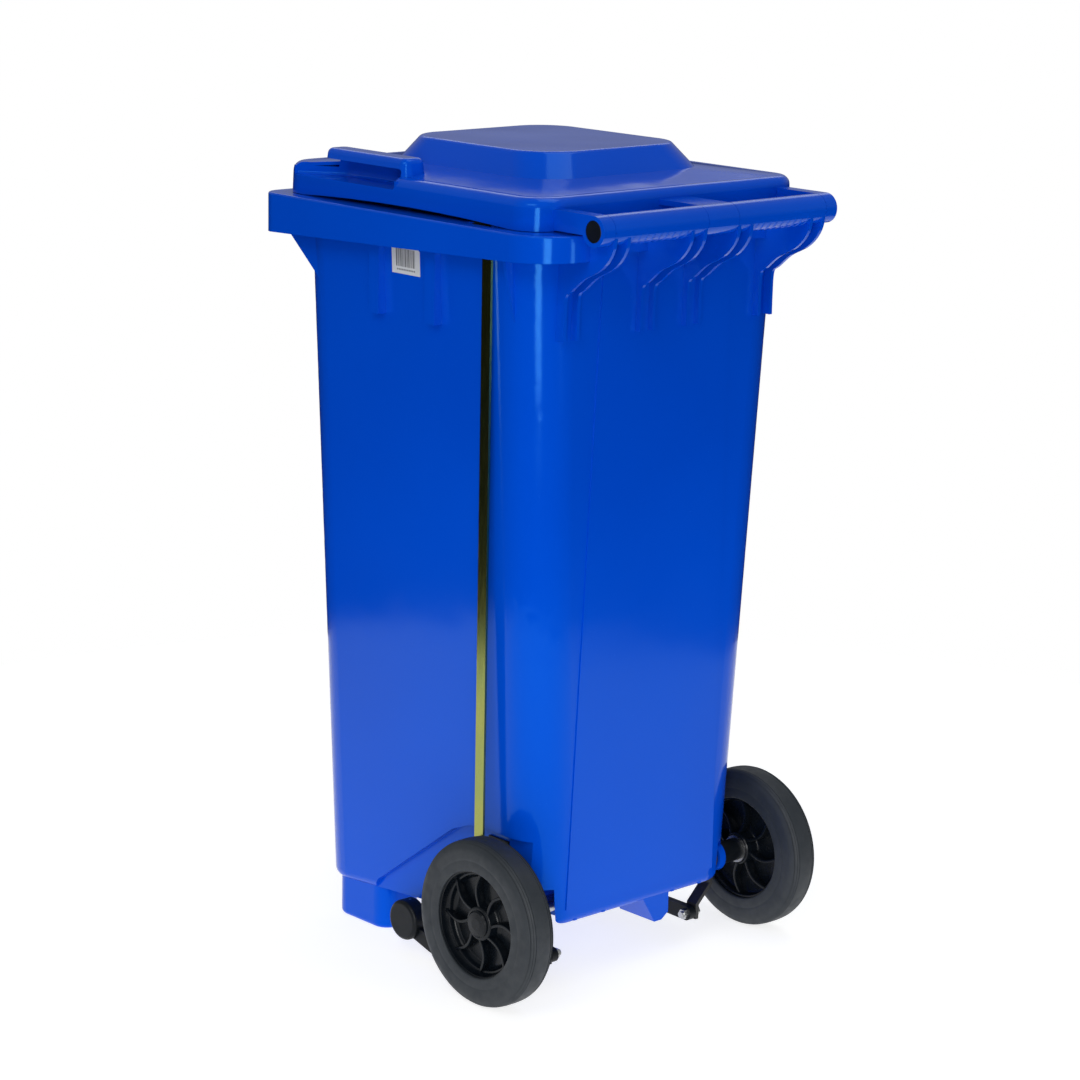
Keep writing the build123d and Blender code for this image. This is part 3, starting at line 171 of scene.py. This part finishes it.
# %% Helpers for finishes
class Finish:
    """One material, with its node tree and its shader at hand."""

    def __init__(self, name):
        self.material = bpy.data.materials.new(name)
        self.material.use_nodes = True
        self.tree = self.material.node_tree
        self.shader = self.tree.nodes["Principled BSDF"]
        self.coords = self.add("ShaderNodeTexCoord").outputs["Object"]

    def add(self, kind, **settings):
        node = self.tree.nodes.new(kind)
        for key, value in settings.items():
            setattr(node, key, value)
        return node

    def link(self, source, target):
        self.tree.links.new(source, target)

    def stretched(self, scale):
        node = self.add("ShaderNodeMapping")
        node.inputs["Scale"].default_value = scale
        self.link(self.coords, node.inputs["Vector"])
        return node.outputs["Vector"]

    def noise(self, scale, detail=3.0, rough=0.5, where=None):
        node = self.add("ShaderNodeTexNoise")
        node.inputs["Scale"].default_value = scale
        node.inputs["Detail"].default_value = detail
        node.inputs["Roughness"].default_value = rough
        self.link(where or self.coords, node.inputs["Vector"])
        return node.outputs["Fac"]

    def span(self, value, low, high, start=0.0, end=1.0):
        node = self.add("ShaderNodeMapRange")
        node.inputs["From Min"].default_value = low
        node.inputs["From Max"].default_value = high
        node.inputs["To Min"].default_value = start
        node.inputs["To Max"].default_value = end
        self.link(value, node.inputs["Value"])
        return node.outputs["Result"]

    def shade(self, factor, first, second):
        node = self.add("ShaderNodeMix", data_type="RGBA")
        self.link(factor, node.inputs["Factor"])
        for socket, colour in ((node.inputs["A"], first), (node.inputs["B"], second)):
            if isinstance(colour, tuple):
                socket.default_value = (*colour, 1)
            else:
                self.link(colour, socket)
        return node.outputs["Result"]

    def bump(self, heights, strength, distance, under=None):
        node = self.add("ShaderNodeBump")
        node.inputs["Strength"].default_value = strength
        node.inputs["Distance"].default_value = distance
        self.link(heights, node.inputs["Height"])
        if under is not None:
            self.link(under, node.inputs["Normal"])
        return node.outputs["Normal"]

    def connect(self, **sockets):
        for name, source in sockets.items():
            self.link(source, self.shader.inputs[name.replace("_", " ")])

print("helpers ready")

# %% [markdown]
# ## Blue moulded plastic
# The tub and lid are thick polyethylene. The colour is even, the skin is glossy, and the
# cooling of the mould leaves slow waves in it that make every mirrored edge wander. Rubbing
# leaves duller patches, so roughness changes over the surface. Grit is a fine speckle of
# lighter blue, spread evenly all over.

# %% Mix the blue plastic
def blue_plastic(name, wave_height):
    finish = Finish(name)
    shader = finish.shader
    shader.inputs["IOR"].default_value = 1.44
    shader.inputs["Specular Tint"].default_value = (0.10, 0.55, 1.0, 1)
    cloud = finish.span(finish.noise(2.2, detail=2), 0.35, 0.65)
    blue = finish.shade(cloud, (0.0, 0.066, 0.60), (0.0, 0.078, 0.67))
    grit = finish.span(finish.noise(420, detail=2), 0.70, 0.80)
    speckled = finish.shade(grit, blue, (0.010, 0.105, 0.70))
    rubbed = finish.span(finish.noise(9, detail=5, rough=0.65), 0.30, 0.75, 0.09, 0.17)
    waves = finish.bump(finish.noise(6.5, detail=1.5, rough=0.4), 1.0, wave_height)
    skin = finish.bump(finish.noise(700, detail=2), 0.03, 0.0002, waves)
    finish.connect(Base_Color=speckled, Roughness=rubbed, Normal=skin)
    return finish.material

tub_blue = blue_plastic("blue tub plastic", 0.0012)
lid_blue = blue_plastic("blue lid plastic", 0.0028)
print("blue plastics mixed")

# %% [markdown]
# ## Black plastic and rubber
# The hubs are glossy black mouldings, the tyres are dull, dark grey rubber, and the levers under
# the bin are a satin black in between. The faint blue in these blacks is painted blue light
# reflected from the tub.

# %% Mix the black finishes
def black_plastic_with_painted_blue_cast(name, low, high, grain):
    finish = Finish(name)
    finish.shader.inputs["Specular IOR Level"].default_value = 0.22
    tone = finish.span(finish.noise(30, detail=4), 0.3, 0.7)
    # Both blacks are tinted faintly blue, a painted blue reflection of the tub; the two blacks differ at
    # random.
    colour = finish.shade(tone, (0.0022, 0.0036, 0.0058), (0.0040, 0.0060, 0.0090))
    finish.connect(
        Base_Color=colour,
        Roughness=finish.span(finish.noise(55, detail=5), 0.3, 0.7, low, high),
        Normal=finish.bump(finish.noise(grain, detail=2), 0.18, 0.0003),
    )
    return finish.material

def rubber(name, first, second):
    finish = Finish(name)
    dust = finish.span(finish.noise(22, detail=6, rough=0.7), 0.38, 0.70)
    finish.connect(
        Base_Color=finish.shade(dust, first, second),
        Roughness=finish.span(finish.noise(80, detail=4), 0.3, 0.7, 0.50, 0.68),
        Normal=finish.bump(finish.noise(900, detail=3), 0.25, 0.0003),
    )
    return finish.material

hub_black = black_plastic_with_painted_blue_cast("glossy black hub plastic", 0.18, 0.32, 500)
lever_black = black_plastic_with_painted_blue_cast("satin black plastic", 0.34, 0.50, 650)
# The blue in the tyre colours is a painted blue cast of light from the tub; the pedal rubber is plain grey.
tyre_rubber_with_painted_blue_cast = rubber("tyre rubber", (0.012, 0.017, 0.023), (0.021, 0.026, 0.032))
tread_rubber = rubber("pedal rubber", (0.013, 0.014, 0.015), (0.022, 0.023, 0.024))
print("black finishes mixed")

# %% [markdown]
# ## Plated steel
# The push rod is zinc plated and passivated yellow, and the plating turns from olive to a
# brassy green along its length. Bolts and the axle have the same zinc without the colour.
# Drawn steel has fine lines along its length, so its noise is stretched along Z or X.

# %% Mix the metals
def plated(name, first, second, stretch, low, high):
    finish = Finish(name)
    finish.shader.inputs["Metallic"].default_value = 1.0
    lines = finish.noise(60, detail=4, where=finish.stretched(stretch))
    patches = finish.span(finish.noise(7, detail=4), 0.35, 0.68)
    finish.connect(
        Base_Color=finish.shade(patches, first, second),
        Roughness=finish.span(lines, 0.3, 0.7, low, high),
        Normal=finish.bump(lines, 0.15, 0.0002),
    )
    return finish.material

rod_zinc = plated("yellow zinc on the rod", (0.34, 0.36, 0.10), (0.24, 0.33, 0.12), (12, 12, 0.6), 0.12, 0.24)
strap_zinc = plated("yellow zinc on straps", (0.60, 0.52, 0.25), (0.48, 0.46, 0.27), (8, 8, 1), 0.30, 0.48)
bolt_zinc = plated("bright zinc", (0.62, 0.62, 0.60), (0.48, 0.49, 0.49), (0.8, 10, 10), 0.22, 0.40)
print("metals mixed")

# %% [markdown]
# ## Powder coat and label film
# The pedal arm is steel under black powder coat, which has a fine orange peel. The label is
# white film, a little yellowed, with a faint wrinkle here and there.

# %% Mix the powder coat and the film
coat = Finish("black powder coat")
coat.shader.inputs["Roughness"].default_value = 0.42
coat.connect(
    Base_Color=coat.shade(coat.span(coat.noise(40), 0.3, 0.7), (0.010, 0.010, 0.011), (0.018, 0.018, 0.019)),
    Normal=coat.bump(coat.noise(350, detail=1), 0.30, 0.0004),
)
film = Finish("white label film")
film.shader.inputs["Roughness"].default_value = 0.38
film.connect(
    Base_Color=film.shade(film.span(film.noise(60), 0.3, 0.7), (0.62, 0.64, 0.66), (0.72, 0.73, 0.73)),
    Normal=film.bump(film.noise(45, detail=1), 0.2, 0.0005),
)
ink = Finish("grey label ink")
ink.shader.inputs["Roughness"].default_value = 0.5
ink.connect(
    Base_Color=ink.shade(ink.span(ink.noise(500), 0.4, 0.6), (0.050, 0.052, 0.058), (0.085, 0.088, 0.095)),
)
print("coat, film and ink mixed")

# %% [markdown]
# ## Dress the ready-made parts
# Each part of the frame keeps its mesh and only swaps its material.

# %% Give each part its finish
finishes = {
    "tub": tub_blue,
    "lid": lid_blue,
    "rod_lever": lever_black,
    "lid_striker": lever_black,
    "hinge_pin_left": lever_black,
    "hinge_pin_right": lever_black,
    "axle_spacer_left": lever_black,
    "axle_spacer_right": lever_black,
    "carrier_left": lever_black,
    "carrier_right": lever_black,
    "rod_guide": lever_black,
    "hub_cap_left": hub_black,
    "hub_cap_right": hub_black,
    "hub_left": hub_black,
    "hub_right": hub_black,
    "tyre_left": tyre_rubber_with_painted_blue_cast,
    "tyre_right": tyre_rubber_with_painted_blue_cast,
    "pedal_tread": tread_rubber,
    "pedal_arm": coat.material,
    "push_rod": rod_zinc,
    "rod_shoe": strap_zinc,
    "hanger_left": coat.material,
    "hanger_right": coat.material,
    "label": film.material,
}
for name, node in nodes.items():
    finish = finishes.get(name, bolt_zinc)
    node.data.materials.clear()
    node.data.materials.append(finish)
print("dressed", len(nodes), "parts")

# %% [markdown]
# ## Tools for modelling
# Every new piece is made as by hand: start from a primitive, shape it in edit mode, and finish
# it with a modifier or two. Round pieces on the axle are turned like wood on a lathe: a circle
# is extruded, resized about the axle and moved along it, one ring after another.

# %% Helpers for modelling
def deselect_all():
    if bpy.context.object is not None and bpy.context.object.mode != "OBJECT":
        bpy.ops.object.mode_set(mode="OBJECT")
    bpy.ops.object.select_all(action="DESELECT")

def pick(piece):
    deselect_all()
    piece.select_set(True)
    bpy.context.view_layer.objects.active = piece

def settle(piece, name, finish, angle=35):
    """Name a piece, give it its finish, put its place into its mesh and smooth it."""
    pick(piece)
    piece.name = name
    bpy.ops.object.transform_apply(location=True, rotation=True, scale=True)
    bpy.ops.object.shade_smooth_by_angle(angle=radians(angle))
    piece.data.materials.clear()
    piece.data.materials.append(finish)
    return piece

def tidy_faces(piece, merge=0.00001):
    pick(piece)
    bpy.ops.object.mode_set(mode="EDIT")
    bpy.ops.mesh.select_all(action="SELECT")
    bpy.ops.mesh.remove_doubles(threshold=merge)
    bpy.ops.mesh.normals_make_consistent(inside=False)
    bpy.ops.object.mode_set(mode="OBJECT")

def turned(profile, centre, segments):
    """A closed ring about X, from (x, radius) pairs in millimetres."""
    deselect_all()
    x, radius = profile[0]
    place = (x / 1000, centre[0], centre[1])
    bpy.ops.mesh.primitive_circle_add(
        vertices=segments, radius=radius / 1000, location=place, rotation=(0, radians(90), 0)
    )
    piece = bpy.context.object
    bpy.ops.object.mode_set(mode="EDIT")
    bpy.ops.mesh.select_all(action="SELECT")
    for next_x, next_radius in profile[1:] + profile[:1]:
        bpy.ops.mesh.extrude_edges_move()
        ratio = next_radius / radius
        bpy.ops.transform.resize(value=(1, ratio, ratio), center_override=(x / 1000, *centre))
        bpy.ops.transform.translate(value=((next_x - x) / 1000, 0, 0))
        x, radius = next_x, next_radius
    bpy.ops.object.mode_set(mode="OBJECT")
    tidy_faces(piece)
    return piece

def mirrored(piece, name):
    """A copy of a piece on the other side of the bin, with its own mesh."""
    pick(piece)
    bpy.ops.object.duplicate()
    copy = bpy.context.object
    copy.name = name
    copy.scale.x = -1
    bpy.ops.object.transform_apply(location=True, rotation=True, scale=True)
    tidy_faces(copy)
    return copy

def joined(pieces):
    deselect_all()
    for piece in pieces:
        piece.select_set(True)
    bpy.context.view_layer.objects.active = pieces[0]
    bpy.ops.object.join()
    return bpy.context.object

def middle(node):
    low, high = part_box(node)
    return (Vector(low) + Vector(high)) / 2

axle = middle("axle")
AXLE = (axle.y, axle.z)
print("axle at", AXLE)

# %% [markdown]
# ## Tyres
# Each tyre is a solid rubber ring with a flat-ish tread, round shoulders and three fine grooves
# near each edge. Its wall has a bead where it grips the hub and one faint moulded ring. The
# grooves are part of the turned profile, so they catch light as real ones do.

# %% Turn the tyres
def grooved(profile_points, depth=0.9, width=1.3):
    """Cut a small groove at each point that is marked with True."""
    cut = []
    for x, radius, groove in profile_points:
        if groove:
            cut += [(x + width / 2, radius), (x + width / 6, radius - depth)]
            cut += [(x - width / 6, radius - depth), (x - width / 2, radius)]
        else:
            cut.append((x, radius))
    return cut

TYRE_MIDDLE = 219.5
half_tread = [
    (20.50, 72.0, False), (20.15, 76.0, False), (20.05, 76.8, False), (20.30, 77.6, False),
    (20.50, 80.0, False), (20.50, 87.0, False), (20.20, 89.8, False), (19.50, 92.4, False),
    (18.30, 94.8, False), (17.10, 96.3, True), (15.60, 97.6, False), (14.10, 98.4, True),
    (12.60, 99.0, False), (11.10, 99.35, True), (9.00, 99.65, False), (5.00, 99.92, False),
]
half_bead = [
    (16.3, 66.05), (16.3, 64.4), (16.9, 63.9), (18.6, 63.9), (19.6, 64.4), (20.0, 65.6), (20.1, 68.6),
]
outer_half = half_bead + grooved(half_tread)
tyre_profile = [(TYRE_MIDDLE + x, radius) for x, radius in outer_half]
tyre_profile += [(TYRE_MIDDLE - x, radius) for x, radius in reversed(outer_half)]
tyre_right = settle(turned(tyre_profile, AXLE, 128), "tyre_right_rubber", tyre_rubber_with_painted_blue_cast, 50)
tyre_left = mirrored(tyre_right, "tyre_left_rubber")
for piece, node, body in ((tyre_right, "tyre_right", "wheel_right"), (tyre_left, "tyre_left", "wheel_left")):
    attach(piece, body)
    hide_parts(node)
print("tyres have", len(tyre_right.data.polygons), "faces each")

# %% [markdown]
# ## Hubs
# A hub is one glossy moulding: a band that holds the tyre, a thin dish, a boss, and eight curved
# fins on each face that stiffen the dish. The dish is turned. One fin is a strip of faces that
# is bent in edit mode and thickened, and then it is copied round the axle.

# %% Turn the dish
dish_profile = [
    (197.7, 10.3), (197.7, 18.8), (198.6, 19.8), (212.6, 21.6), (214.2, 23.2), (214.6, 26.5),
    (214.6, 56.8), (213.2, 59.2), (204.4, 60.8), (203.5, 61.8), (203.5, 65.9), (235.5, 65.9),
    (236.1, 65.2), (236.1, 63.4), (235.4, 62.4), (233.0, 61.8), (229.5, 60.9), (227.4, 59.6),
    (226.9, 57.6), (225.6, 56.8), (223.2, 56.4), (221.0, 55.0), (219.7, 52.8), (219.5, 50.5),
    (219.5, 27.5), (220.1, 24.6), (222.4, 22.4), (230.2, 20.6), (231.6, 19.9), (232.0, 19.0),
    (232.0, 14.4), (221.6, 14.4), (221.6, 10.3),
]
dish = turned(dish_profile, AXLE, 96)
print("dish faces", len(dish.data.polygons))

# %% Bend and copy the fins
FIN_LENGTH, FIN_MIDDLE, FIN_THICKNESS = 0.0425, 0.0395, 0.0036
FIN_BOW = 0.0075

def one_fin(inner_x, boss_x, rim_x, bow):
    """A curved strip from the boss to the band, standing on the dish at inner_x."""
    deselect_all()
    length = FIN_LENGTH
    bpy.ops.mesh.primitive_grid_add(
        x_subdivisions=1, y_subdivisions=12, size=1, location=(0, AXLE[0] + FIN_MIDDLE, AXLE[1])
    )
    fin = bpy.context.object
    fin.scale = (0.001, length, 1)
    bpy.ops.object.transform_apply(location=True, rotation=True, scale=True)
    for point in fin.data.vertices:
        share = (point.co.y - AXLE[0] - FIN_MIDDLE) / length + 0.5
        outer = boss_x + (rim_x - boss_x) * share
        point.co.x = (inner_x if point.co.x < 0 else outer) / 1000
        point.co.z += bow * sin(pi * share)
    thicken = fin.modifiers.new("thickness", "SOLIDIFY")
    thicken.thickness = FIN_THICKNESS
    thicken.offset = 0
    soften = fin.modifiers.new("soft edges", "BEVEL")
    soften.width = 0.0007
    soften.segments = 2
    soften.limit_method = "ANGLE"
    pick(fin)
    bpy.ops.object.modifier_apply(modifier="thickness")
    bpy.ops.object.modifier_apply(modifier="soft edges")
    return fin

def ring_of_fins(fin, count=8):
    """Copies of a fin, turned about the axle."""
    pick(fin)
    bpy.context.scene.cursor.location = (0, *AXLE)
    bpy.ops.object.origin_set(type="ORIGIN_CURSOR")
    fins = [fin]
    for step in range(1, count):
        pick(fin)
        bpy.ops.object.duplicate()
        copy = bpy.context.object
        copy.rotation_euler.x = step * tau / count
        fins.append(copy)
    return fins

outer_fins = ring_of_fins(one_fin(219.0, 230.8, 229.8, FIN_BOW))
inner_fins = ring_of_fins(one_fin(215.0, 201.0, 206.0, -FIN_BOW))
hub_right = joined([dish] + outer_fins + inner_fins)
hub_right = settle(hub_right, "hub_right_moulding", hub_black, 40)
hub_left = mirrored(hub_right, "hub_left_moulding")
for piece, node, body in ((hub_right, "hub_right", "wheel_right"), (hub_left, "hub_left", "wheel_left")):
    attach(piece, body)
    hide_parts(node)
print("hubs have", len(hub_right.data.polygons), "faces each")

# %% [markdown]
# ## Ribbed grips on the rear tube
# The two stretches of tube that hands pull on are moulded with low rounded ribs, deeper on the
# underside where the fingers lie. Each rib is a torus sunk in the tube and set a little low.

# %% Add the grip ribs
pin = middle("hinge_pin_right")
GRIP_START, GRIP_PITCH, GRIP_RIBS = 0.0560, 0.0104, 9
ribs = []
for side in (-1, 1):
    for step in range(GRIP_RIBS):
        deselect_all()
        bpy.ops.mesh.primitive_torus_add(
            location=(side * (GRIP_START + step * GRIP_PITCH), pin.y - 0.0003, pin.z - 0.0004),
            rotation=(0, radians(90), 0),
            major_segments=48,
            minor_segments=14,
            major_radius=0.0142,
            minor_radius=0.0037,
        )
        ribs.append(bpy.context.object)
grips = settle(joined(ribs), "grip_ribs", tub_blue, 60)
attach(grips, "tub")
print("grip ribs", len(ribs))

# %% [markdown]
# ## Printed bars on the label
# The label carries a plain block of bars and a row of short ticks, with nothing to read. Ink is
# a few hundredths of a millimetre thick, so each bar is a very thin raised block.

# %% Print the bars
label_place = middle("label")
WALL_LEAN = radians(2.672)
label_outward = Vector((cos(WALL_LEAN), 0, -sin(WALL_LEAN)))
TICKS, TICK_PITCH = 11, 3.0
INK_LIFT = 0.00017
BAR_WIDTHS = (1.6, 0.6, 1.0, 0.6, 1.6, 1.0, 0.6, 0.6, 1.6, 0.6, 1.0, 1.6, 0.6, 1.0, 0.6, 1.6, 0.6)
GAP = 1.05

def ink_block(across, upward, width, tall):
    """A thin block on the label, placed in millimetres from the label's middle."""
    deselect_all()
    bpy.ops.mesh.primitive_cube_add(size=1, location=(0, 0, 0))
    block = bpy.context.object
    block.scale = (0.00006, width / 1000, tall / 1000)
    block.location = (0, across / 1000, upward / 1000)
    bpy.ops.object.transform_apply(location=True, rotation=True, scale=True)
    return block

blocks = []
across = -17.5
for width in BAR_WIDTHS:
    blocks.append(ink_block(across + width / 2, 2.5, width, 21))
    across += width + GAP
for step in range(TICKS):
    blocks.append(ink_block(-15 + step * TICK_PITCH, -11.5, 1.7, 1.9))
bars = joined(blocks)
bars.rotation_euler.y = WALL_LEAN
bars.location = label_place + label_outward * INK_LIFT
settle(bars, "label_bars", ink.material, 30)
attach(bars, "tub")
print("bars", len(blocks))
